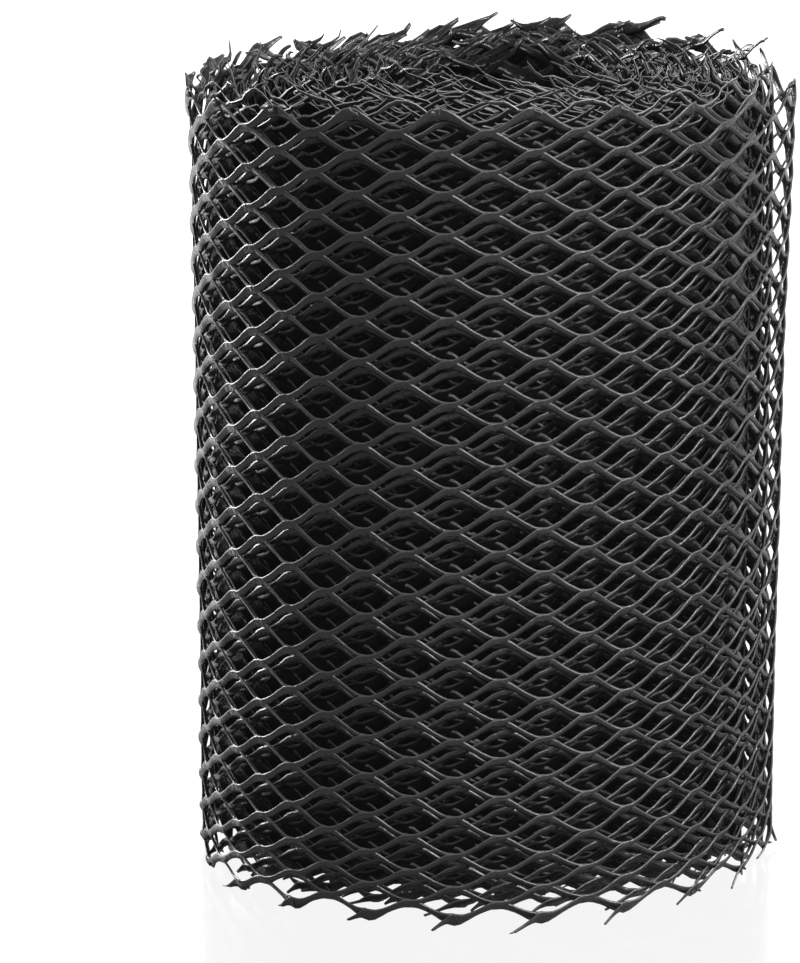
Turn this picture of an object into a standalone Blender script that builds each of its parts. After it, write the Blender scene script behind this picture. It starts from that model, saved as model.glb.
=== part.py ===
"""Roll of plastic netting, stood on its end, +Z along the roll's axis, front towards -Y.

One strip of diamond netting is wound up with a round hollow in the middle. The inner
turns are one thick wound ring with a spiral relief on top. The last turn stands off it
as a net with its gaps cut through, joined where it leaves the ring.
"""
import math

import bmesh
import bpy

MM = 0.001

# The strip and the winding, in millimetres
STRIP_WIDTH = 200.0
TURN_STEP = 2.6
HOLLOW_RADIUS = 25.2
INNER_END_ANGLE = 200.0
RING_RADIUS = 69.2
ROOT_ANGLE = 95.0
OVAL_SHARE = 0.006
OVAL_ANGLE = 35.0

# The thick ring of inner turns
RING_TOP = 193.0
FOOT_STEP_WIDTH = 9.0
FOOT_STEP_HEIGHT = 5.0
RELIEF_HEIGHT = 2.4
RELIEF_PITCH = 11.0
RELIEF_STEPS = 21
RING_STATIONS = 72

# The net of the last turn, at twice the real pitch
NET_THICKNESS = 2.0
NET_COLUMNS = 19
NET_ROWS = 19
HALF_CELL_WIDTH = 21.8
HALF_CELL_HEIGHT = STRIP_WIDTH / (NET_ROWS + 1)
NET_FOOT = 5.8
NODE_HALF_LENGTH = 4.2
NODE_HALF_HEIGHT = 1.3
NODE_SKEW = 1.0
OUTER_STRAND_LIFT = 0.3
INNER_STRAND_DROP = 0.4
LONG_STUB = (9.4, 4.5)
SHORT_STUB = (3.6, 2.4)
TIP_HALF_WIDTH = 0.45
ROOT_TONGUE = 9.0
TAIL_CLIMB = 6.0

# How far the centre of the last turn lies from the axis, by angle round the roll
LAST_TURN = (
    {"angle": 80.0, "radius": 70.30},
    {"angle": 95.0, "radius": 70.50},
    {"angle": 135.0, "radius": 72.00},
    {"angle": 180.0, "radius": 72.80},
    {"angle": 270.0, "radius": 73.60},
    {"angle": 330.0, "radius": 74.30},
    {"angle": 360.0, "radius": 74.90},
    {"angle": 395.0, "radius": 76.10},
    {"angle": 425.0, "radius": 77.60},
)


def clear_scene():
    for thing in list(bpy.data.objects):
        bpy.data.objects.remove(thing, do_unlink=True)


def oval(angle):
    """Share by which the roll is out of round at an angle in degrees."""
    return 1.0 + OVAL_SHARE * math.cos(math.radians(2.0 * (angle - OVAL_ANGLE)))


def last_turn_radius(angle):
    """Centre radius of the last turn, eased between the rows of its table."""
    rows = LAST_TURN
    if angle <= rows[0]["angle"]:
        return rows[0]["radius"]
    for low, high in zip(rows[:-1], rows[1:]):
        if angle <= high["angle"]:
            share = (angle - low["angle"]) / (high["angle"] - low["angle"])
            return low["radius"] + (high["radius"] - low["radius"]) * share
    return rows[-1]["radius"]


def ring_radius(turned):
    """Outer radius of the thick ring, by degrees past the root of the last turn."""
    return RING_RADIUS + TURN_STEP * turned / 360.0


def hollow_radius(turned):
    """Radius of the hollow, by degrees past the inner end of the strip."""
    return HOLLOW_RADIUS + TURN_STEP * turned / 360.0


def ring_angles():
    """Angles of the ring's stations, with two close ones at each end of the strip."""
    even = [360.0 * k / RING_STATIONS for k in range(RING_STATIONS)]
    steps = []
    for end in (ROOT_ANGLE, INNER_END_ANGLE):
        steps += [end - 0.5, end + 0.5]
    kept = [a for a in even if all(abs(a - s) > 1.2 for s in steps)]
    return sorted(kept + steps)


def relief(radius, angle):
    """Height of the spiral ridge on the ring's top."""
    phase = 2.0 * math.pi * (radius / RELIEF_PITCH) - math.radians(angle)
    return RELIEF_HEIGHT * math.cos(phase)


def ring_profile(angle):
    """Points (radius, height) of the ring's cross-section, from the foot's inner edge."""
    inner = hollow_radius((angle - INNER_END_ANGLE) % 360.0) * oval(angle)
    outer = ring_radius((angle - ROOT_ANGLE) % 360.0) * oval(angle)
    foot = outer - FOOT_STEP_WIDTH
    points = [(inner, 0.0), (foot, 0.0), (foot + 1.0, FOOT_STEP_HEIGHT), (outer, FOOT_STEP_HEIGHT)]
    for k in range(RELIEF_STEPS + 1):
        radius = outer + (inner - outer) * k / RELIEF_STEPS
        points.append((radius, RING_TOP + relief(radius, angle)))
    return points


def place(radius, angle, height):
    turn = math.radians(angle)
    return (radius * math.cos(turn) * MM, radius * math.sin(turn) * MM, height * MM)


def mesh_object(name, points, faces):
    mesh = bpy.data.meshes.new(name)
    mesh.from_pydata(points, [], faces)
    work = bmesh.new()
    work.from_mesh(mesh)
    bmesh.ops.triangulate(work, faces=work.faces, quad_method="SHORT_EDGE", ngon_method="BEAUTY")
    bmesh.ops.recalc_face_normals(work, faces=work.faces)
    work.to_mesh(mesh)
    work.free()
    thing = bpy.data.objects.new(name, mesh)
    bpy.context.scene.collection.objects.link(thing)
    return thing


def wound_ring(name):
    """The inner turns as one ring, its cross-section carried round the axis."""
    points = []
    faces = []
    angles = ring_angles()
    size = len(ring_profile(angles[0]))
    for angle in angles:
        points += [place(radius, angle, height) for radius, height in ring_profile(angle)]
    count = len(angles)
    for a in range(count):
        b = (a + 1) % count
        for k in range(size):
            n = (k + 1) % size
            faces.append((a * size + k, b * size + k, b * size + n, a * size + n))
    return mesh_object(name, points, faces)


def net_place(along, height, out):
    """A point of the last turn: along the strip, up it, and out from its middle."""
    angle = ROOT_ANGLE
    left = along
    step = 2.0 if along >= 0.0 else -2.0
    while abs(left) > 1e-9:
        part = step if abs(left) > abs(step) else left
        angle += math.degrees(part / last_turn_radius(angle))
        left -= part
    radius = (last_turn_radius(angle) + out) * oval(angle)
    climb = TAIL_CLIMB * max(0.0, (angle - 180.0) / 240.0)
    return place(radius, angle, height + climb)


class Net:
    """Flat polygons of the net, later given their thickness on the wound surface."""

    def __init__(self):
        self.points = []
        self.index = {}
        self.faces = []

    def point(self, along, height, out=0.0):
        key = (round(along, 4), round(height, 4))
        if key not in self.index:
            self.index[key] = len(self.points)
            self.points.append((along, height, out))
        return self.index[key]

    def face(self, *corners):
        self.faces.append(corners)

    def solid(self, name):
        half = NET_THICKNESS / 2.0
        outer = [net_place(a, h, o + half) for a, h, o in self.points]
        inner = [net_place(a, h, o - half) for a, h, o in self.points]
        shift = len(self.points)
        faces = []
        edges = {}
        for corners in self.faces:
            faces.append(corners)
            faces.append(tuple(shift + c for c in reversed(corners)))
            for a, b in zip(corners, corners[1:] + corners[:1]):
                edges[(a, b)] = True
        for a, b in edges:
            if (b, a) not in edges:
                faces.append((b, a, shift + a, shift + b))
        return mesh_object(name, outer + inner, faces)


def node_corners(net, column, row):
    """The four corners of a welded crossing: left, top, right and bottom."""
    along = column * HALF_CELL_WIDTH
    height = NET_FOOT + row * HALF_CELL_HEIGHT
    left = net.point(along - NODE_HALF_LENGTH, height)
    top = net.point(along - NODE_SKEW, height + NODE_HALF_HEIGHT)
    right = net.point(along + NODE_HALF_LENGTH, height)
    bottom = net.point(along + NODE_SKEW, height - NODE_HALF_HEIGHT)
    return left, top, right, bottom


def strand(net, start, end, lift):
    """A strand from one crossing to the next, with one station at its middle."""
    upper_start, lower_start = start
    upper_end, lower_end = end
    middle = []
    for a, b in ((upper_start, upper_end), (lower_start, lower_end)):
        along = (net.points[a][0] + net.points[b][0]) / 2.0
        height = (net.points[a][1] + net.points[b][1]) / 2.0
        middle.append(net.point(along, height, lift))
    net.face(lower_start, middle[1], middle[0], upper_start)
    net.face(middle[1], lower_end, upper_end, middle[0])


def stub(net, first, second, reach, side):
    """The cut remains of a strand, tapering from a crossing's edge to its tip."""
    along = (net.points[first][0] + net.points[second][0]) / 2.0 + reach[0]
    height = (net.points[first][1] + net.points[second][1]) / 2.0 + reach[1]
    tip_a = net.point(along - side[0] * TIP_HALF_WIDTH, height - side[1] * TIP_HALF_WIDTH)
    tip_b = net.point(along + side[0] * TIP_HALF_WIDTH, height + side[1] * TIP_HALF_WIDTH)
    net.face(first, tip_a, tip_b, second)


def net_turn(name):
    """The last turn: crossings, strands, the cut ends and the tongue at its root."""
    net = Net()
    nodes = {}
    for column in range(NET_COLUMNS + 1):
        for row in range(NET_ROWS + 1):
            if (column + row) % 2 == 0:
                nodes[(column, row)] = node_corners(net, column, row)
    for (column, row), (left, top, right, bottom) in nodes.items():
        net.face(left, bottom, right, top)
        rising = nodes.get((column + 1, row + 1))
        falling = nodes.get((column + 1, row - 1))
        if rising:
            strand(net, (top, right), (rising[0], rising[3]), OUTER_STRAND_LIFT)
        if falling:
            strand(net, (right, bottom), (falling[1], falling[0]), -INNER_STRAND_DROP)
        if row == NET_ROWS:
            stub(net, right, top, LONG_STUB, (-0.4, 0.9))
            if column > 0:
                stub(net, top, left, (-SHORT_STUB[0], SHORT_STUB[1]), (-0.55, -0.83))
        if row == 0:
            if column > 0:
                stub(net, left, bottom, (-LONG_STUB[0], -LONG_STUB[1]), (0.4, -0.9))
            stub(net, bottom, right, (SHORT_STUB[0], -SHORT_STUB[1]), (0.55, 0.83))
        if column == 0:
            back = [net.point(-ROOT_TONGUE, net.points[k][1]) for k in (top, bottom)]
            net.face(back[0], back[1], bottom, left, top)
    return net.solid(name)


def join(body, other):
    """Unites another solid with the body and leaves one closed object."""
    tool = body.modifiers.new("join", "BOOLEAN")
    tool.operation = "UNION"
    tool.solver = "EXACT"
    tool.object = other
    graph = bpy.context.evaluated_depsgraph_get()
    mesh = bpy.data.meshes.new_from_object(body.evaluated_get(graph))
    body.modifiers.clear()
    body.data = mesh
    bpy.data.objects.remove(other, do_unlink=True)
    work = bmesh.new()
    work.from_mesh(mesh)
    bmesh.ops.remove_doubles(work, verts=work.verts, dist=0.00002)
    bmesh.ops.triangulate(work, faces=work.faces)
    work.to_mesh(mesh)
    work.free()
    return body


def centre(thing):
    """Moves the mesh so that its box stands centred on the axis, foot on the surface."""
    corners = [v.co for v in thing.data.vertices]
    low = [min(c[k] for c in corners) for k in range(3)]
    high = [max(c[k] for c in corners) for k in range(3)]
    shift = ((low[0] + high[0]) / 2.0, (low[1] + high[1]) / 2.0, low[2])
    for vertex in thing.data.vertices:
        for k in range(3):
            vertex.co[k] -= shift[k]


def plastic(name):
    material = bpy.data.materials.new(name)
    material.use_nodes = True
    shader = material.node_tree.nodes["Principled BSDF"]
    shader.inputs["Base Color"].default_value = (0.022, 0.023, 0.024, 1.0)
    shader.inputs["Roughness"].default_value = 0.42
    shader.inputs["Metallic"].default_value = 0.0
    return material


def main():
    clear_scene()
    roll = wound_ring("wound_netting")
    roll = join(roll, net_turn("last_turn"))
    centre(roll)
    roll.data.materials.clear()
    roll.data.materials.append(plastic("mesh_plastic"))
    for polygon in roll.data.polygons:
        polygon.material_index = 0


main()
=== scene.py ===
# %% [markdown]
# A roll of gutter guard is one long strip of black plastic netting, cut along both
# edges, wound up and stood on end. This lesson dresses the plain wound solid: every
# turn of the net is made strand by strand, from one rule that is carried round a
# spiral. The frame comes first. It holds the solid that sets the size and the place.

# %% Load the frame
import math

import bmesh
import bpy
from mathutils import Matrix, Vector


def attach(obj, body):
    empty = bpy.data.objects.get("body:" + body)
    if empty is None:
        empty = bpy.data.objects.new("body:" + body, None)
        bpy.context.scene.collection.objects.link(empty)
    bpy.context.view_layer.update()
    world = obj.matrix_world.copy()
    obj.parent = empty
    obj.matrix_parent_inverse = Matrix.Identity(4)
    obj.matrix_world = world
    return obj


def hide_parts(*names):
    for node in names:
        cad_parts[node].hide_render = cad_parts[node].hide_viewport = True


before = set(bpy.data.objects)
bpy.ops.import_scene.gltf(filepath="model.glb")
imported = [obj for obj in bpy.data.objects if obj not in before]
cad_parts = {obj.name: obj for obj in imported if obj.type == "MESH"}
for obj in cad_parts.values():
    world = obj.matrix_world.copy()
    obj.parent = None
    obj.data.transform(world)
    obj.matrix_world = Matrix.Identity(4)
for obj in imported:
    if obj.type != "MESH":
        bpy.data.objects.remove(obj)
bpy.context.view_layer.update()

# %% [markdown]
# The net is a lattice of crossings. Two sets of strands run between them: a broad one
# that rises along the strip and a thin one that falls behind it. Half a cell along the
# strip and half a cell up it lead from one crossing to the next, so these two sizes
# and the number of half rows give the whole strip. Beyond the outermost crossings a
# strand has spare rows, for the stub that the cut leaves. The strip is wound on a
# spiral, which is set by its first radius, its last one and how far it turns. Sizes are
# in millimetres and angles in degrees. An angle "past" is counted from the root of the
# last turn, where it leaves the roll, so it is below 0 in the turns inside.

# %% Sizes of the strip and the winding
HALF_CELL_LONG = 10.66
LATTICE_SHIFT = -0.6
HALF_ROWS = 40
SPARE_ROWS = 2.0
TUBE_ROWS = HALF_ROWS + 2.0 * SPARE_ROWS
NET_HEIGHT = 193.5

INNER_RADIUS = 26.4
ROOT_RADIUS = 71.3
ROOT_ANGLE = 95.0
INNER_TURNING = 6015.0
LAST_TURNING = 360.0
TURN_STEP = (ROOT_RADIUS - INNER_RADIUS) / (INNER_TURNING / 360.0)
INNER_STRETCH = -0.0054


def strip_place(past):
    """Place along the strip, from the last turn's root, at an angle in degrees past it."""
    angle = math.radians(past)
    length = ROOT_RADIUS * angle + TURN_STEP * angle * angle / (4.0 * math.pi)
    return length / (1.0 + INNER_STRETCH) if past < 0.0 else length


START = strip_place(-INNER_TURNING)
END = strip_place(LAST_TURNING)
print(f"{TURN_STEP:.2f} mm a turn, {INNER_TURNING / 360:.1f} inner turns, "
      f"{(END - START) / 1000:.2f} m of strip")

# %% [markdown]
# A Geometry Nodes tree can work out a place for every point with arithmetic, but a
# long rule takes dozens of Math nodes. This small class writes them: a Field is the
# output of a node, and adding or multiplying two of them makes the next node. The
# rule then reads like the sums on paper.

# %% Arithmetic that writes nodes
class Field:
    """A number that differs from point to point in a Geometry Nodes tree."""

    def __init__(self, tree, socket):
        self.tree = tree
        self.socket = socket

    def math(self, operation, *others):
        node = self.tree.nodes.new("ShaderNodeMath")
        node.operation = operation
        for slot, value in zip(node.inputs, (self, *others)):
            put(self.tree, value, slot)
        return Field(self.tree, node.outputs[0])

    def __add__(self, other):
        return self.math("ADD", other)

    def __sub__(self, other):
        return self.math("SUBTRACT", other)

    def __mul__(self, other):
        return self.math("MULTIPLY", other)

    def __truediv__(self, other):
        return self.math("DIVIDE", other)

    def __rsub__(self, other):
        return self * -1.0 + other

    def least(self, other):
        return self.math("MINIMUM", other)

    def most(self, other):
        return self.math("MAXIMUM", other)

    def between(self, low, high):
        return self.most(low).least(high)

    def eased(self, low, high):
        """0 up to low, 1 from high on, with a soft start and stop."""
        node = self.tree.nodes.new("ShaderNodeMapRange")
        node.interpolation_type = "SMOOTHSTEP"
        for name, value in (("Value", self), ("From Min", low), ("From Max", high)):
            put(self.tree, value, node.inputs[name])
        return Field(self.tree, node.outputs["Result"])

    def plateau(self, low, rise, fall, high):
        """0 up to low, 1 from rise to fall and 0 again from high on, all with soft turns."""
        return self.eased(low, rise) - self.eased(fall, high)


def put(tree, value, slot):
    """Links a field to a socket, or sets a plain number on it."""
    if isinstance(value, Field):
        tree.links.new(value.socket, slot)
    else:
        slot.default_value = value


def vector(tree, x, y, z):
    """Three fields or numbers as one vector."""
    node = tree.nodes.new("ShaderNodeCombineXYZ")
    for slot, value in zip(node.inputs, (x, y, z)):
        put(tree, value, slot)
    return node.outputs[0]


def noise(tree, x, y, z, size):
    """Soft noise from about -1 to 1, with bumps about size apart. Numbers pick a wave."""
    node = tree.nodes.new("ShaderNodeTexNoise")
    node.inputs["Scale"].default_value = 1.0 / size
    node.inputs["Detail"].default_value = 1.0
    tree.links.new(vector(tree, x, y, z), node.inputs["Vector"])
    return (Field(tree, node.outputs["Fac"]) - 0.5) * 2.6


def chance(tree, index, seed, low, high):
    """A fixed random number for each strand."""
    node = tree.nodes.new("FunctionNodeRandomValue")
    node.data_type = "FLOAT"
    floats = [s for s in node.inputs if s.type == "VALUE"]
    floats[0].default_value = low
    floats[1].default_value = high
    tree.links.new(index.socket, node.inputs["ID"])
    put(tree, seed, node.inputs["Seed"])
    return Field(tree, [s for s in node.outputs if s.type == "VALUE"][0])


# %% [markdown]
# The net grows from upright tubes, one for each strand. Every point of a tube knows
# three things: which strand it is on, how many half cells up it lies, and where it sits
# round the tube. These are the inputs that tell one set of strands from the other, and
# two sums that the rules below share. The heights of the rows were measured and aren't
# quite even, so a curve gives them. On a spiral the wound length grows with the square
# of the angle, so the angle comes from the length with a square root.

# %% Inputs and shared sums
TUBE_RADIUS = 0.25
ROW_HEIGHTS = ((0.0, 0.0), (0.1, 0.0804), (0.2, 0.1783), (0.3, 0.2768), (0.5, 0.4894),
               (0.7, 0.6993), (0.9, 0.9025), (1.0, 1.0))
TREE_INPUTS = (
    ("Strands", "NodeSocketInt", 10),
    ("First strand", "NodeSocketFloat", 0.0),
    ("Rise", "NodeSocketFloat", 1.0),
    ("Steps", "NodeSocketInt", 6),
    ("Sides", "NodeSocketInt", 8),
    ("Half width", "NodeSocketFloat", 0.8),
    ("Crossing half width", "NodeSocketFloat", 1.1),
    ("Half thickness", "NodeSocketFloat", 0.6),
    ("Tilt", "NodeSocketFloat", 0.6),
    ("Deep spread", "NodeSocketFloat", 1.0),
    ("Lift", "NodeSocketFloat", 0.5),
    ("Crossing lift", "NodeSocketFloat", 0.3),
    ("Top stub", "NodeSocketFloat", 0.6),
    ("Foot stub", "NodeSocketFloat", 0.6),
    ("From", "NodeSocketFloat", 0.0),
    ("To", "NodeSocketFloat", 100.0),
    ("Seed", "NodeSocketInt", 1),
    ("Plastic", "NodeSocketMaterial", None),
)


def start_tree(name, sockets):
    """An empty tree with named inputs, and a Field for each of the numbers."""
    tree = bpy.data.node_groups.new(name, "GeometryNodeTree")
    tree.interface.new_socket("Geometry", in_out="INPUT", socket_type="NodeSocketGeometry")
    tree.interface.new_socket("Geometry", in_out="OUTPUT", socket_type="NodeSocketGeometry")
    for label, kind, value in sockets:
        socket = tree.interface.new_socket(label, in_out="INPUT", socket_type=kind)
        if value is not None:
            socket.default_value = value
    group = tree.nodes.new("NodeGroupInput")
    return tree, {label: Field(tree, group.outputs[label]) for label, _, _ in sockets}


def row_curve(tree, share):
    """Height of a crossing as a share of the net, because the rows aren't quite even."""
    node = tree.nodes.new("ShaderNodeFloatCurve")
    line = node.mapping.curves[0]
    line.points[0].location = ROW_HEIGHTS[0]
    line.points[-1].location = ROW_HEIGHTS[-1]
    for place in ROW_HEIGHTS[1:-1]:
        line.points.new(*place)
    node.mapping.update()
    put(tree, share, node.inputs["Value"])
    return Field(tree, node.outputs[0])


def wound_angle(along):
    """Root radius and angle past the last turn's root, from the length along the strip."""
    wound = along.most(0.0) + along.least(0.0) * (1.0 + INNER_STRETCH)
    root = (wound * (TURN_STEP / math.pi) + ROOT_RADIUS ** 2).math("SQRT")
    return root, (root - ROOT_RADIUS) * (2.0 * math.pi / TURN_STEP)


# %% [markdown]
# The turns inside the roll have ways of their own. They have crept and slipped against
# the last turn, and their cut edges are uneven, because each turn was cut at slightly
# different rows. Past the first and the last crossing a strand is only a cut stub: worn
# short where the loose turn is handled, and shorter at the far rim. Deep in the roll and
# at the far rim the ribbons are made wider, because there they only have to close the
# view.

# %% How the turns differ
TAIL_ROW_FROM = 288.0
SECOND_TURN_STEPS = ((-400.0, -300.0, 0.45), (-275.0, -225.0, 0.55), (-200.0, -120.0, 0.2),
                     (-60.0, -10.0, -1.2))
SECOND_TURN_RAISE = 1.35
CREEP_DOWN = 4.75
CREEP_WANDER = 1.4
BURIED_WANDER = 3.2
LEAN_FROM = 70.0
LEAN = 0.000146
SHORTEST_TOP_STUB = 0.1
SHORTEST_FOOT_STUB = 0.12


def staircase(field, steps):
    """The sum of soft steps, each given by where it starts and stops and its height."""
    first, *others = (field.eased(low, high) * height for low, high, height in steps)
    return sum(others, first)


def inner_creep(tree, near, raw, inner):
    """How far up the turns inside have crept: they hang lower, but the second rides up."""
    creep = (noise(tree, near, 7.0, 3.0, 260.0) * CREEP_WANDER - CREEP_DOWN) * inner
    buried = ((near + 600.0) * (-1.0 / 300.0)).between(0.0, 1.0)
    wander = noise(tree, near, 67.0, 9.0, 240.0) * BURIED_WANDER * buried
    creep = creep + wander * raw.plateau(3.0, 10.0, 30.0, 37.0)
    second = staircase(near, SECOND_TURN_STEPS)
    return creep + second * raw.eased(0.0, 6.0) * SECOND_TURN_RAISE


def inner_slip(near):
    """How far along the second turn has slipped against the last one, more at the right."""
    slip = (near + 230.0) * -0.0215 * near.plateau(-480.0, -400.0, -70.0, 0.0)
    right = near.plateau(-300.0, -265.0, -150.0, -70.0)
    return slip + right * ((near + 238.0) * 0.05).between(-0.7, 3.0)


def cut_rows(tree, given, strand, near, raw, inner, far_side):
    """Rows up the strip with short stubs, the last row, and marks for each end's stub."""
    lowest = inner * SPARE_ROWS
    uneven = chance(tree, strand, given["Seed"] + 31.0, -0.75, 0.35)
    tail = near.math("GREATER_THAN", strip_place(TAIL_ROW_FROM))
    highest = inner * (uneven + 1.0) + tail + HALF_ROWS
    whole = raw.most(lowest).least(highest)
    above = (raw - highest).most(0.0) / (HALF_ROWS + SPARE_ROWS - highest)
    below = (raw - lowest).least(0.0) / (lowest + SPARE_ROWS)
    worn = (2.6 - ((near - 215.0) * (1.0 / 65.0)).math("ABSOLUTE")).between(0.0, 1.0)
    top_stub = given["Top stub"] * chance(tree, strand, given["Seed"], 0.4, 1.4)
    top_stub = top_stub * (1.0 - worn * 0.6) * (1.0 - far_side * 0.4)
    foot_stub = given["Foot stub"] * chance(tree, strand, given["Seed"] + 5.0, 0.9, 1.25)
    up = whole + above * top_stub.most(SHORTEST_TOP_STUB)
    up = up + below * foot_stub.most(SHORTEST_FOOT_STUB)
    return up, highest, above, below


def widening(given, near, raw, height, turned, inner, highest, far_side):
    """How much wider than usual a ribbon is: deep inside, in the cut rows, at the far rim."""
    spread = ((near + 540.0) * (-1.0 / 200.0)).between(0.0, 1.0)
    spread = spread * height.plateau(1.0, 10.0, 186.0, 198.0)
    flank = turned.math("COSINE").math("ABSOLUTE").eased(0.45, 0.8)
    edge_lump = (1.0 - (raw - highest).math("ABSOLUTE") * 1.4).most(0.0) * 0.45
    edge_lump = edge_lump + (1.0 - raw.math("ABSOLUTE") * 1.2).most(0.0) * 0.5
    far_top = far_side * raw.eased(29.0, 34.0)
    return (spread * (given["Deep spread"] + flank * 0.9) + edge_lump * (1.0 - inner)
            + far_top * 1.1 + 1.0)


# %% [markdown]
# The rule for one set of strands gives each point a place on the flat strip. A strand is
# a flat ribbon that leans back a little. It runs level through each crossing, widens
# there, and climbs straight in between. Its stub tapers, and near the cut the inner
# strands are thin and frayed. The falling strands of the last turn are thinner at the
# right, where they are seen nearly edge on.

# %% The strand on the flat strip
FOOT_ROW = 1.8
STUB_ROW = 4.6


def level_at_crossings(up):
    """Height in rows with a level stretch at each crossing, its slope, and a mark there."""
    row = up.math("FLOOR")
    part = up - row
    late = ((part - 0.1) / 0.8).between(0.0, 1.0)
    climb = late * late * (late * -2.0 + 3.0) * 0.25 + late * 0.75
    slope = late.plateau(0.0, 0.25, 0.75, 1.0) * 1.4
    crossing = 1.0 - part.least(1.0 - part).eased(0.02, 0.46)
    return row + climb, slope, crossing


def strand_rule(tree, given):
    """Fields for a point's place along the strip, up it and out of it, and its marks."""
    place = tree.nodes.new("ShaderNodeSeparateXYZ")
    tree.links.new(tree.nodes.new("GeometryNodeInputPosition").outputs[0], place.inputs[0])
    x, y, z = (Field(tree, s) for s in place.outputs)
    index = (x + 0.5).math("FLOOR")
    across, outward = (x - index) * (1.0 / TUBE_RADIUS), y * (1.0 / TUBE_RADIUS)
    raw = z + HALF_ROWS / 2.0
    strand = index + given["First strand"]

    near = strand * 2.0 + given["Rise"] * raw.between(0.0, HALF_ROWS)
    near = near * HALF_CELL_LONG + LATTICE_SHIFT
    inner = (near * (-1.0 / 150.0)).between(0.0, 1.0)
    turned = wound_angle(near)[1] + math.radians(ROOT_ANGLE)
    far_side = turned.math("SINE").eased(0.45, 0.85) * inner
    up, highest, above, below = cut_rows(tree, given, strand, near, raw, inner, far_side)
    stub = above - below

    rows_up, slope, crossing = level_at_crossings(up)
    crossing = crossing * (1.0 - stub * 0.5)
    along = (strand * 2.0 + given["Rise"] * up) * HALF_CELL_LONG + LATTICE_SHIFT + inner_slip(near)
    inside = rows_up.between(0.0, HALF_ROWS)
    rear = above * above * chance(tree, strand, given["Seed"] + 21.0, -0.7, 1.2) * inner
    height = row_curve(tree, inside / HALF_ROWS) * NET_HEIGHT + FOOT_ROW
    height = height + inner_creep(tree, near, raw, inner) + rear
    height = height + (rows_up - inside) * STUB_ROW
    high = (height - LEAN_FROM).most(0.0)
    along = along - high * high * LEAN

    frayed = raw.eased(highest - 1.8, highest - 0.2) * inner
    thinned = 1.0 - frayed * 0.42
    right_side = turned.math("COSINE").eased(0.3, 0.8) * (1.0 - inner)
    narrowed = (given["Rise"] - 1.0) * right_side * 0.21 + 1.0
    fuller = widening(given, near, raw, height, turned, inner, highest, far_side)
    taper = 1.0 - stub * 0.55
    squared = (across * outward).math("ABSOLUTE") * 0.22 + 1.0
    breadth = given["Half width"]
    breadth = breadth + (given["Crossing half width"] - breadth) * crossing
    flat_wide = breadth * fuller * narrowed * thinned * taper * across * squared
    flat_thick = given["Half thickness"] * thinned * (taper + stub * 0.35) * outward * squared
    tilt = given["Tilt"] * given["Rise"] * (1.0 - crossing * 0.3)
    turn_cos, turn_sin = tilt.math("COSINE"), tilt.math("SINE")
    wide = flat_wide * turn_cos - flat_thick * turn_sin
    thick = flat_thick * turn_cos + flat_wide * turn_sin

    run = given["Rise"] * HALF_CELL_LONG
    rise = slope * (NET_HEIGHT / HALF_ROWS)
    size = (run * run + rise * rise).math("SQRT")
    lift = given["Lift"] + (given["Crossing lift"] - given["Lift"]) * crossing
    bend = stub * stub * chance(tree, strand, given["Seed"] + 9.0, -2.0, 2.0)
    sway = stub * stub * chance(tree, strand, given["Seed"] + 13.0, -1.8, 1.8)
    # How deep in the roll a point lies; the material paints shade there.
    deep = ((near + 210.0) * (-1.0 / 250.0)).between(0.0, 1.0)
    # Mark for the strong painted highlight on the frayed strands and stubs near the top rim, weaker
    # on the far side.
    rim_highlight = frayed.most(above * above * 0.8)
    return {
        "centre": along,
        "level": height,
        "along": along - rise / size * wide + sway,
        "height": height + run / size * wide,
        "out": lift + thick + bend,
        "crossing": crossing,
        "stub": stub,
        "across": across * given["Rise"],
        "deep": deep * height.plateau(1.0, 10.0, 190.0, 200.0),
        "frayed": frayed,
        "rim_highlight": rim_highlight * (1.0 - turned.math("SINE").eased(0.5, 0.9) * 0.8),
    }


# %% [markdown]
# Winding the strip up. The last turn is loose: it lifts off the roll from its root on
# and stands off most at the free end, and it also creeps upwards, which makes its cut
# edges run askew as on the real roll. The turns under it bulge a little, and the top of
# the roll is tipped: its inner turns stand highest at the back. The values below are
# heights in millimetres, and the two askew ones are millimetres for each radian.

# %% Waves, looseness and cut edges
TOP_ABOVE = 7.35
TOP_TIPPED = 4.2
TOP_ROUNDED = 0.35
RIGHT_RAISED = 2.7
BACK_RAISED = 0.5
ROOT_DIP = 3.0
FOOT_TIPPED = -1.8
SLIPPED = 1.5
TOP_ASKEW = 1.15
FOOT_ASKEW = 1.3
SAG = 1.7
FLOOR_GAP = 0.15


def step(past, low, high):
    """A soft step between two angles, in degrees past the root of the last turn."""
    return past.eased(math.radians(low), math.radians(high))


def arc(past, low, rise, fall, high):
    """1 on the arc from rise to fall, in degrees past the root, with soft ends."""
    return past.plateau(*(math.radians(angle) for angle in (low, rise, fall, high)))


def roughened(tree, rule):
    """A point's place on the strip with the waves of soft plastic, and the frayed cut."""
    centre, level, frayed = rule["centre"], rule["level"], rule["frayed"]
    along = rule["along"] + noise(tree, centre, rule["height"], 11.0, 70.0) * 0.9
    height = rule["height"] + noise(tree, centre, rule["height"], 23.0, 60.0) * 0.35
    lump = noise(tree, centre, height, 37.0, 55.0) * 0.35
    along = along + noise(tree, centre, level, 71.0, 6.0) * 1.8 * frayed
    lump = lump + noise(tree, centre, level, 83.0, 6.0) * 1.4 * frayed
    height = height + noise(tree, centre, level, 97.0, 7.0) * 1.1 * frayed
    return along, height, lump


def stand_off(past, height):
    """How far a turn stands off the plain spiral."""
    late = (past - math.radians(215.0)).most(0.0)
    flare = step(past, 205.0, 265.0)
    flare = flare * (height.eased(40.0, 90.0) * 0.8 + height.eased(90.0, 215.0) * 2.8)
    flare = flare + arc(past, 20.0, 60.0, 110.0, 150.0) * height.eased(175.0, 205.0) * 1.4
    loose = step(past, 0.0, 85.0) * 0.8 + late * late * 0.30 + flare
    return loose + arc(past, -1100.0, -330.0, -60.0, 0.0) * 1.6


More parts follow.
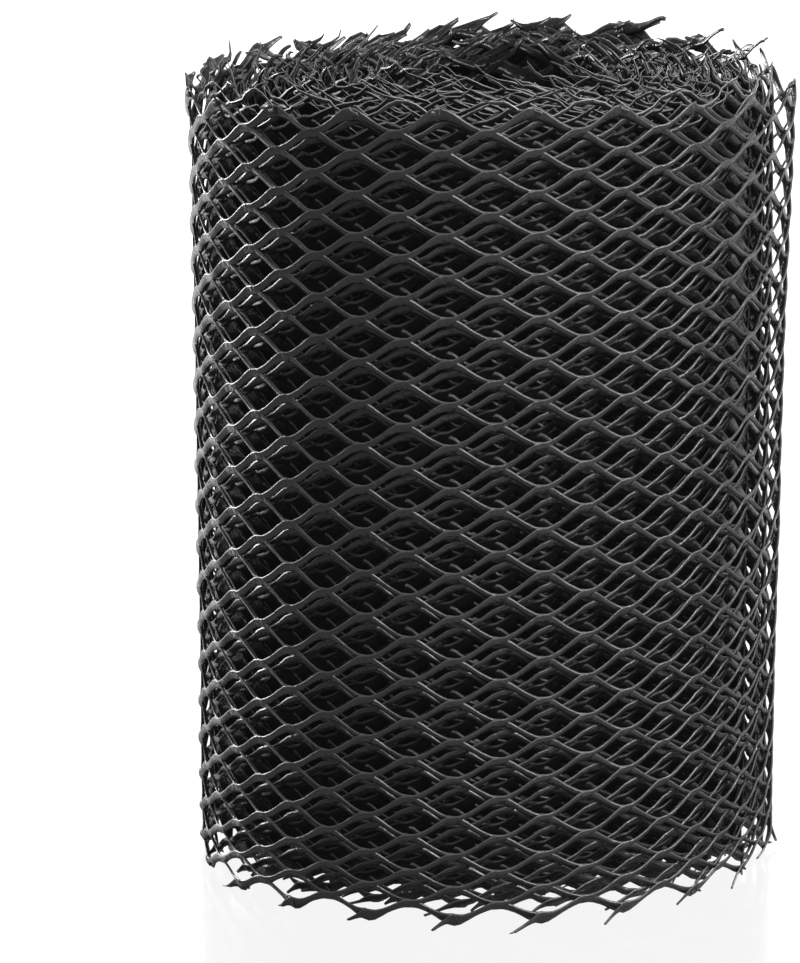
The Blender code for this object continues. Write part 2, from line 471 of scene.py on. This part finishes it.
def cut_edges(tree, root, past, angle):
    """How far the strip's top and its foot lie above their plain heights on the spiral."""
    back = angle.math("SINE") * root * (1.0 / 70.0)
    slip = noise(tree, past, 51.0, 5.0, 2.6) * SLIPPED
    right = (((angle - math.radians(75.0)).math("COSINE") - 0.85) * 6.7).most(0.0)
    inner_top = TOP_ABOVE - (root - 65.0) * 0.018 + back * TOP_TIPPED - back * back * TOP_ROUNDED
    inner_top = inner_top + right * RIGHT_RAISED + slip
    inner_top = inner_top + back.most(0.0) * BACK_RAISED
    inner_top = inner_top - arc(past, -8.0, 6.0, 28.0, 45.0) * ROOT_DIP
    inner_foot = back * FOOT_TIPPED - 0.2 + slip * 0.4
    askew = (past - math.radians(85.0)).most(0.0) * TOP_ASKEW
    tail = step(past, 250.0, 332.0)
    lifted = tail * 1.5 - step(past, 320.0, 345.0) * 0.6
    top = inner_top + (askew + lifted - inner_top) * step(past, 25.0, 165.0)
    foot_askew = (past - math.radians(120.0)).most(0.0) * FOOT_ASKEW
    foot = inner_foot + (foot_askew + tail - inner_foot) * step(past, 0.0, 90.0)
    return top, foot.most(0.0)


# %% [markdown]
# Then each point goes round the spiral. The roll is a little oval and sags where the
# last turn is loosest, and whatever the sums give, nothing may go through the floor.

# %% Round the spiral
AXIS = (-1.22, 1.36)
OVAL_SHARE = 0.006
OVAL_ANGLE = 35.0


def wound_place(tree, rule):
    """The place in metres of a point given along, up and out of the flat strip."""
    along, height, lump = roughened(tree, rule)
    root, past = wound_angle(along)
    angle = past + math.radians(ROOT_ANGLE)
    oval = (angle * 2.0 - math.radians(2.0 * OVAL_ANGLE)).math("COSINE") * OVAL_SHARE + 1.0
    radius = (root + stand_off(past, height) + lump + rule["out"]) * oval
    top, foot = cut_edges(tree, root, past, angle)
    sag = arc(past, 180.0, 235.0, 262.0, 300.0) * height.eased(115.0, 190.0) * SAG
    height = (height + foot + (top - foot) * (height * (1.0 / 200.0)) - sag).most(FLOOR_GAP)
    aside = (71.0 - root).most(0.0) * 0.09
    x = (radius * angle.math("COSINE") + aside + AXIS[0]) * 0.001
    y = (radius * angle.math("SINE") + AXIS[1]) * 0.001
    return vector(tree, x, y, height * 0.001)


# %% [markdown]
# The whole tree puts these together: a row of tubes, the rule, the cut between the two
# ends of a piece, the marks for the material, and the winding.

# %% The whole tree
def stored(tree, geometry, name, field):
    """Keeps a field on the points under a name that the material can read."""
    node = tree.nodes.new("GeometryNodeStoreNamedAttribute")
    node.data_type = "FLOAT"
    node.domain = "POINT"
    node.inputs["Name"].default_value = name
    tree.links.new(geometry, node.inputs["Geometry"])
    put(tree, field, [s for s in node.inputs if s.name == "Value" and s.type == "VALUE"][0])
    return node.outputs["Geometry"]


def net_tree():
    """Tubes, the rule, the winding, real geometry and its material."""
    tree, given = start_tree("wound net", TREE_INPUTS)
    new, link = tree.nodes.new, tree.links.new
    line = new("GeometryNodeMeshLine")
    link(given["Strands"].socket, line.inputs["Count"])
    line.inputs["Offset"].default_value = (1.0, 0.0, 0.0)
    tube = new("GeometryNodeMeshCylinder")
    tube.fill_type = "TRIANGLE_FAN"
    tube.inputs["Radius"].default_value = TUBE_RADIUS
    tube.inputs["Depth"].default_value = TUBE_ROWS
    link(given["Sides"].socket, tube.inputs["Vertices"])
    put(tree, given["Steps"] * TUBE_ROWS, tube.inputs["Side Segments"])
    copies = new("GeometryNodeInstanceOnPoints")
    link(line.outputs["Mesh"], copies.inputs["Points"])
    link(tube.outputs["Mesh"], copies.inputs["Instance"])
    real = new("GeometryNodeRealizeInstances")
    link(copies.outputs[0], real.inputs[0])

    rule = strand_rule(tree, given)
    outside = rule["centre"].math("LESS_THAN", given["From"])
    outside = outside + rule["centre"].math("GREATER_THAN", given["To"])
    cut = new("GeometryNodeDeleteGeometry")
    cut.domain = "POINT"
    link(real.outputs[0], cut.inputs["Geometry"])
    put(tree, outside, cut.inputs["Selection"])
    geometry = cut.outputs[0]
    for name in ("crossing", "stub", "across", "deep", "rim_highlight"):
        geometry = stored(tree, geometry, name, rule[name])
    wind = new("GeometryNodeSetPosition")
    link(geometry, wind.inputs["Geometry"])
    link(wound_place(tree, rule), wind.inputs["Position"])
    smooth = new("GeometryNodeSetShadeSmooth")
    link(wind.outputs[0], smooth.inputs["Geometry"])
    last = new("GeometryNodeRealizeInstances")
    link(smooth.outputs[0], last.inputs[0])
    finish = new("GeometryNodeSetMaterial")
    link(last.outputs[0], finish.inputs["Geometry"])
    link(given["Plastic"].socket, finish.inputs["Material"])
    out = new("NodeGroupOutput")
    link(finish.outputs[0], out.inputs[0])
    print("wound net:", len(tree.nodes), "nodes")
    return tree


NET = net_tree()

# %% [markdown]
# The plastic is black polyethylene straight from the extruder: dull satin, a little
# uneven in gloss, with fine ripples across each crossing where the melt was drawn out.
# Its colour also holds painted light: a painted highlight makes the cut ends paler, and
# the edges of each strand paler than its middle, most of all near the cut on top. The
# turns deep in the roll get painted shade and less gloss, as if shaded by their
# neighbours, and the plastic has a faint painted glow for the haze of stray light. The
# material reads the marks that the net keeps on its points: how near a crossing, how far
# along a stub, how far across the strand, how deep inside and how near the rim's highlight.

# %% Small helpers for shaders
def shader_math(tree, operation, a, b):
    """A Math node on sockets or plain numbers."""
    node = tree.nodes.new("ShaderNodeMath")
    node.operation = operation
    for slot, value in zip(node.inputs, (a, b)):
        if isinstance(value, (int, float)):
            slot.default_value = value
        else:
            tree.links.new(value, slot)
    return node.outputs[0]


def shader_eased(tree, value, low, high, start=0.0, end=1.0):
    """Goes softly from start to end while the value goes from low to high."""
    node = tree.nodes.new("ShaderNodeMapRange")
    node.interpolation_type = "SMOOTHSTEP"
    for name, number in (("From Min", low), ("From Max", high), ("To Min", start), ("To Max", end)):
        node.inputs[name].default_value = number
    tree.links.new(value, node.inputs["Value"])
    return node.outputs["Result"]


def mixed(tree, share, a, b):
    """A blend of two tones, each three numbers or a socket."""
    node = tree.nodes.new("ShaderNodeMix")
    node.data_type = "RGBA"
    for name, tone in (("A", a), ("B", b)):
        if isinstance(tone, tuple):
            node.inputs[name].default_value = (*tone, 1.0)
        else:
            tree.links.new(tone, node.inputs[name])
    tree.links.new(share, node.inputs["Factor"])
    return node.outputs["Result"]


def speckle(tree, scale, detail):
    """Fine noise through the object, from 0 to 1."""
    node = tree.nodes.new("ShaderNodeTexNoise")
    node.inputs["Scale"].default_value = scale
    node.inputs["Detail"].default_value = detail
    tree.links.new(tree.nodes.new("ShaderNodeTexCoord").outputs["Object"], node.inputs["Vector"])
    return node.outputs["Fac"]


def marked(tree, name):
    """A mark that the net keeps on its points."""
    node = tree.nodes.new("ShaderNodeAttribute")
    node.attribute_name = name
    return node.outputs["Fac"]


# %% The black plastic
BLACK_TONE = (0.019, 0.0196, 0.0201)
# Painted highlight on the cut ends of the stubs, for the light from above.
CUT_HIGHLIGHT_TONE = (0.07, 0.0718, 0.0735)
# Painted highlight along the edges of the strands.
EDGE_HIGHLIGHT_TONE = (0.072, 0.0738, 0.0755)
# Stronger painted highlight on the strand edges near the top rim.
RIM_HIGHLIGHT_TONE = (0.32, 0.323, 0.326)
# Share of the black left deep in the roll: painted shade.
DEEP_SHARE = 0.26
# A faint glow painted into the plastic, for the haze of stray light that lifts its blacks.
HAZE_GLOW = 0.0028
BUMP_DEPTH = 0.0004


def extruded_plastic(name):
    """Black plastic with painted highlights on its edges and cut ends, and painted shade deep
    inside.
    """
    material = bpy.data.materials.new(name)
    material.use_nodes = True
    tree = material.node_tree
    shader = tree.nodes["Principled BSDF"]
    mottle, ripple = speckle(tree, 160.0, 4.0), speckle(tree, 900.0, 2.0)
    crossing, side, deep = (marked(tree, mark) for mark in ("crossing", "across", "deep"))
    edge = shader_math(tree, "ABSOLUTE", side, 0.0)

    # The paler cut ends are a painted highlight, not a colour of the plastic.
    ends = shader_math(tree, "POWER", marked(tree, "stub"), 2.0)
    tone = mixed(tree, shader_math(tree, "MULTIPLY", ends, 0.8), BLACK_TONE, CUT_HIGHLIGHT_TONE)
    # Turns deep in the roll are painted darker as shade, and lose gloss below as well.
    tone = mixed(tree, deep, tone, tuple(DEEP_SHARE * c for c in BLACK_TONE))
    # Painted highlight on the strand edges: stronger on one edge than the other, and weaker deep
    # inside.
    bright = shader_math(tree, "MULTIPLY", shader_eased(tree, edge, 0.6, 0.85),
                         shader_eased(tree, side, -0.3, 0.6, 0.5, 1.0))
    bright = shader_math(tree, "MULTIPLY", bright, shader_eased(tree, deep, 0.0, 1.0, 0.8, 0.6))
    # Near the top rim the edge highlight turns much paler: a painted highlight.
    edges = mixed(tree, marked(tree, "rim_highlight"), EDGE_HIGHLIGHT_TONE, RIM_HIGHLIGHT_TONE)
    tree.links.new(mixed(tree, bright, tone, edges), shader.inputs["Base Color"])
    shine = shader_math(tree, "SUBTRACT", 0.5, shader_math(tree, "MULTIPLY", deep, 0.38))
    tree.links.new(shine, shader.inputs["Specular IOR Level"])
    # Painted glow: the plastic gives off a little light to stand in for stray-light haze.
    shader.inputs["Emission Color"].default_value = (1.0, 1.0, 1.0, 1.0)
    shader.inputs["Emission Strength"].default_value = HAZE_GLOW

    rough = shader_math(tree, "SUBTRACT", shader_math(tree, "MULTIPLY", mottle, 0.22),
                        shader_math(tree, "MULTIPLY", crossing, 0.1))
    tree.links.new(shader_math(tree, "ADD", rough, 0.15), shader.inputs["Roughness"])
    height = shader_math(tree, "ADD", shader_math(tree, "MULTIPLY", ripple, crossing),
                         shader_math(tree, "MULTIPLY", mottle, 1.5))
    bead = shader_math(tree, "ABSOLUTE", shader_math(tree, "SUBTRACT", edge, 0.66), 0.0)
    bead = shader_math(tree, "MAXIMUM", shader_math(tree, "SUBTRACT", 0.3, bead), 0.0)
    height = shader_math(tree, "ADD", height, shader_math(tree, "MULTIPLY", bead, 0.5))
    bump = tree.nodes.new("ShaderNodeBump")
    bump.inputs["Strength"].default_value = 0.8
    bump.inputs["Distance"].default_value = BUMP_DEPTH
    tree.links.new(height, bump.inputs["Height"])
    tree.links.new(bump.outputs["Normal"], shader.inputs["Normal"])
    return material


BLACK = extruded_plastic("mesh plastic")
print("mesh plastic:", len(BLACK.node_tree.nodes), "nodes")

# %% [markdown]
# Each piece of the roll runs the tree twice, once for the rising strands and once for
# the falling ones, and joins the two. The last turn is what the eye meets, so it gets
# the most steps and sides. The turns behind it are seen through its cells, and the
# inner ones only at their cut ends, so they need fewer.

# %% Run the tree
RISING = {
    "Rise": 1.0, "Half width": 0.84, "Crossing half width": 1.38, "Half thickness": 0.31,
    "Tilt": 0.64, "Lift": 0.34, "Crossing lift": 0.12, "Top stub": 0.20, "Foot stub": 0.54,
    "Seed": 3,
}
FALLING = {
    "Rise": -1.0, "Half width": 1.0, "Crossing half width": 1.38, "Half thickness": 0.29,
    "Tilt": 0.6, "Lift": -0.32, "Crossing lift": -0.10, "Top stub": 0.58, "Foot stub": 0.16,
    "Seed": 17,
}
THINNER = {"Half width": 0.60, "Crossing half width": 0.98, "Half thickness": 0.27,
           "Deep spread": 1.0}
BURIED = THINNER | {"Deep spread": 2.2}
REACH = TUBE_ROWS * HALF_CELL_LONG


def run_tree(values):
    """Runs the net tree with these inputs and returns the result as a plain mesh."""
    carrier = bpy.data.objects.new("carrier", bpy.data.meshes.new("carrier"))
    bpy.context.scene.collection.objects.link(carrier)
    modifier = carrier.modifiers.new("net", "NODES")
    modifier.node_group = NET
    for item in NET.interface.items_tree:
        if item.in_out == "INPUT" and item.name in values:
            modifier[item.identifier] = values[item.name]
    graph = bpy.context.evaluated_depsgraph_get()
    mesh = bpy.data.meshes.new_from_object(carrier.evaluated_get(graph), depsgraph=graph)
    bpy.data.objects.remove(carrier, do_unlink=True)
    return mesh


def net_piece(name, start, end, steps, sides, changes):
    """The net between two lengths along the strip, as one closed object."""
    joined = bmesh.new()
    for strands in (RISING | changes, FALLING | changes):
        low = start if strands["Rise"] < 0 else start - REACH
        high = end if strands["Rise"] > 0 else end + REACH
        first = math.floor(low / (2.0 * HALF_CELL_LONG)) - 1
        count = math.ceil(high / (2.0 * HALF_CELL_LONG)) + 1 - first
        mesh = run_tree(strands | {"Strands": count, "First strand": float(first), "Steps": steps,
                                   "Sides": sides if strands["Rise"] > 0 else max(4, sides - 2),
                                   "From": start, "To": end, "Plastic": BLACK})
        joined.from_mesh(mesh)
        bpy.data.meshes.remove(mesh)
    rims = [e for e in joined.edges if e.is_boundary]
    bmesh.ops.holes_fill(joined, edges=rims, sides=0)
    bmesh.ops.triangulate(joined, faces=[f for f in joined.faces if len(f.verts) > 4])
    mesh = bpy.data.meshes.new(name)
    joined.to_mesh(mesh)
    joined.free()
    mesh.materials.clear()
    mesh.materials.append(BLACK)
    thing = bpy.data.objects.new(name, mesh)
    bpy.context.scene.collection.objects.link(thing)
    triangles = sum(len(p.vertices) - 2 for p in mesh.polygons)
    print(f"{name}: {(end - start) / 1000:.2f} m of strip, {triangles} triangles")
    return thing


# %% [markdown]
# The real roll is one strip. Here it is made in five lengths that follow one another
# from angle to angle, so that each has only the steps it needs. The ribbons of the inner
# turns are thinner, as their cut ends show.

# %% The turns of the roll
PIECES = (
    {"name": "last_turn", "between": (0.0, LAST_TURNING), "steps": 7, "sides": 8, "changes": {}},
    {"name": "second_turns", "between": (-720.0, 0.0), "steps": 4, "sides": 6, "changes": {}},
    {"name": "outer_turns", "between": (-1980.0, -720.0), "steps": 3, "sides": 4,
     "changes": THINNER},
    {"name": "middle_turns", "between": (-3600.0, -1980.0), "steps": 3, "sides": 4,
     "changes": BURIED},
    {"name": "inner_turns", "between": (-INNER_TURNING, -3600.0), "steps": 3, "sides": 4,
     "changes": BURIED},
)
turns = {}
for piece in PIECES:
    start, end = (strip_place(past) for past in piece["between"])
    turns[piece["name"]] = net_piece(piece["name"], start, end, piece["steps"],
                                     piece["sides"], piece["changes"])

# %% [markdown]
# Every piece of net belongs to the one body of the part and stands for its wound solid,
# which is hidden. The last turn hangs loose round the others: the strip is cut 0.2 m wide,
# and its strands cover 0.48 of it.

# %% Tie the net to the frame
for thing in turns.values():
    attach(thing, "root")
    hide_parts("wound_netting")
last_length = END * 0.001
0.48 * 0.2 * last_length
print(f"{len(turns)} pieces tied to the root, the last turn cut {last_length:.3f} m long")

# %% [markdown]
# The photograph was taken in a white studio: the background is pure white and the
# roll's foot is only faintly mirrored in a pale floor. A plain grey floor would show
# every shadow, so this one glows towards the camera and stays nearly white, while to
# the light that falls on the roll it is a darker surface.

# %% The floor
def studio_floor():
    """A wide pale floor that glows towards the camera, and behind the roll."""
    work = bmesh.new()
    bmesh.ops.create_grid(work, x_segments=1, y_segments=1, size=9.0)
    mesh = bpy.data.meshes.new("studio_floor")
    work.to_mesh(mesh)
    work.free()
    mesh.transform(Matrix.Translation((0.0, 5.0, 0.0)))
    floor = bpy.data.objects.new("studio_floor", mesh)
    bpy.context.scene.collection.objects.link(floor)
    material = bpy.data.materials.new("pale floor")
    material.use_nodes = True
    tree = material.node_tree
    shader = tree.nodes["Principled BSDF"]
    shader.inputs["Roughness"].default_value = 0.16
    shader.inputs["Specular IOR Level"].default_value = 0.30
    seen = tree.nodes.new("ShaderNodeLightPath").outputs["Is Camera Ray"]
    tone = mixed(tree, seen, (0.24, 0.24, 0.24), (0.0, 0.0, 0.0))
    tree.links.new(tone, shader.inputs["Base Color"])
    shader.inputs["Emission Color"].default_value = (0.90, 0.90, 0.90, 1.0)
    place = tree.nodes.new("ShaderNodeSeparateXYZ")
    tree.links.new(tree.nodes.new("ShaderNodeTexCoord").outputs["Object"], place.inputs[0])
    glow = tree.nodes.new("ShaderNodeMix")
    glow.inputs["B"].default_value = 1.0
    tree.links.new(seen, glow.inputs["Factor"])
    tree.links.new(shader_eased(tree, place.outputs["Y"], -0.05, 0.35, 0.0, 0.9), glow.inputs["A"])
    tree.links.new(glow.outputs["Result"], shader.inputs["Emission Strength"])
    mesh.materials.append(material)
    return floor


print("floor:", tuple(studio_floor().dimensions))

# %% [markdown]
# Three soft boxes light the roll: from above, from the right and from behind on the
# left. Each is a plain area lamp. Its long shape gives the long soft glints that satin
# plastic shows along a strand.

# %% The soft boxes
def soft_box(name, place, aim, size, watts):
    """A rectangular lamp at a place, turned towards its aim."""
    data = bpy.data.lights.new(name, "AREA")
    data.shape = "RECTANGLE"
    data.size, data.size_y = size
    data.energy = watts
    lamp = bpy.data.objects.new(name, data)
    lamp.location = place
    lamp.rotation_euler = (Vector(aim) - Vector(place)).to_track_quat("-Z", "Y").to_euler()
    bpy.context.scene.collection.objects.link(lamp)
    print(f"{name}: {watts:.0f} W")


soft_box("top box", (0.5, -0.7, 1.0), (0.0, 0.0, 0.1), (1.4, 0.2), 26.0)
soft_box("right box", (0.95, -0.5, 0.55), (0.0, 0.0, 0.1), (0.3, 0.3), 8.0)
soft_box("left box", (-0.8, 0.7, 0.5), (0.0, 0.0, 0.1), (0.4, 0.6), 14.0)

# %% [markdown]
# The camera sees a pure white world, but plastic lit by a white world on all sides would
# turn grey. So to the roll the world is a dim room with a bright backdrop, which puts
# pale rims on the strands that are seen nearly edge on.

# %% The world
CAMERA_WHITE = 4.0


def studio_world(room, backdrop, wash):
    """A world that is white to the camera, and to the roll a dim room with a bright backdrop."""
    world = bpy.data.worlds.new("white studio")
    world.use_nodes = True
    tree = world.node_tree
    shine = tree.nodes["Background"]
    shine.inputs["Color"].default_value = (1.0, 1.0, 1.0, 1.0)
    place = tree.nodes.new("ShaderNodeSeparateXYZ")
    tree.links.new(tree.nodes.new("ShaderNodeTexCoord").outputs["Generated"], place.inputs[0])
    x, y, z = place.outputs
    wall = shader_math(tree, "MULTIPLY", shader_eased(tree, y, 0.25, 0.7, 0.0, backdrop),
                       shader_eased(tree, z, 0.35, 0.75, 1.0, 0.15))
    dim = shader_math(tree, "ADD", room, shader_eased(tree, x, 0.1, 0.9, 0.0, wash))
    dim = shader_math(tree, "MULTIPLY", dim, shader_eased(tree, z, 0.2, 0.9, 1.0, 0.5))
    seen = tree.nodes.new("ShaderNodeLightPath").outputs["Is Camera Ray"]
    lit = shader_math(tree, "ADD", shader_math(tree, "ADD", wall, dim),
                      shader_math(tree, "MULTIPLY", seen, CAMERA_WHITE))
    tree.links.new(lit, shine.inputs["Strength"])
    bpy.context.scene.world = world


studio_world(room=0.06, backdrop=1.0, wash=0.04)
bpy.context.scene.view_settings.view_transform = "Standard"

# %% [markdown]
# The camera's place comes from measuring the crossings in the photograph and fitting a
# cylinder to them: it stands 0.88 m from the roll's axis and 0.27 m above the floor,
# looks down by nearly 11 degrees and a little to the left, and has a long lens.

# %% Camera
CAMERA = {"away": 0.8806, "height": 0.2659, "pitch": 0.18943, "yaw": -0.02552, "roll": -0.00684,
          "focal_px": 3496.1}
IMAGE = (800, 963)


def photo_camera(fit):
    """A camera from a fit: its place, the way it looks and its focal length in pixels."""
    data = bpy.data.cameras.new("photo camera")
    data.sensor_width = 36.0
    data.lens = fit["focal_px"] * data.sensor_width / max(IMAGE)
    data.clip_start, data.clip_end = 0.01, 50.0
    ahead = Vector((math.sin(fit["yaw"]) * math.cos(fit["pitch"]),
                    math.cos(fit["yaw"]) * math.cos(fit["pitch"]), -math.sin(fit["pitch"])))
    level = Vector((math.cos(fit["yaw"]), -math.sin(fit["yaw"]), 0.0))
    above = level.cross(ahead)
    right = level * math.cos(fit["roll"]) + above * math.sin(fit["roll"])
    above = right.cross(ahead)
    camera = bpy.data.objects.new("photo camera", data)
    camera.matrix_world = Matrix((right, above, -ahead)).transposed().to_4x4()
    camera.location = (0.0, -fit["away"], fit["height"])
    bpy.context.scene.collection.objects.link(camera)
    bpy.context.scene.camera = camera
    return camera


print(f"camera: {photo_camera(CAMERA).data.lens:.0f} mm lens")
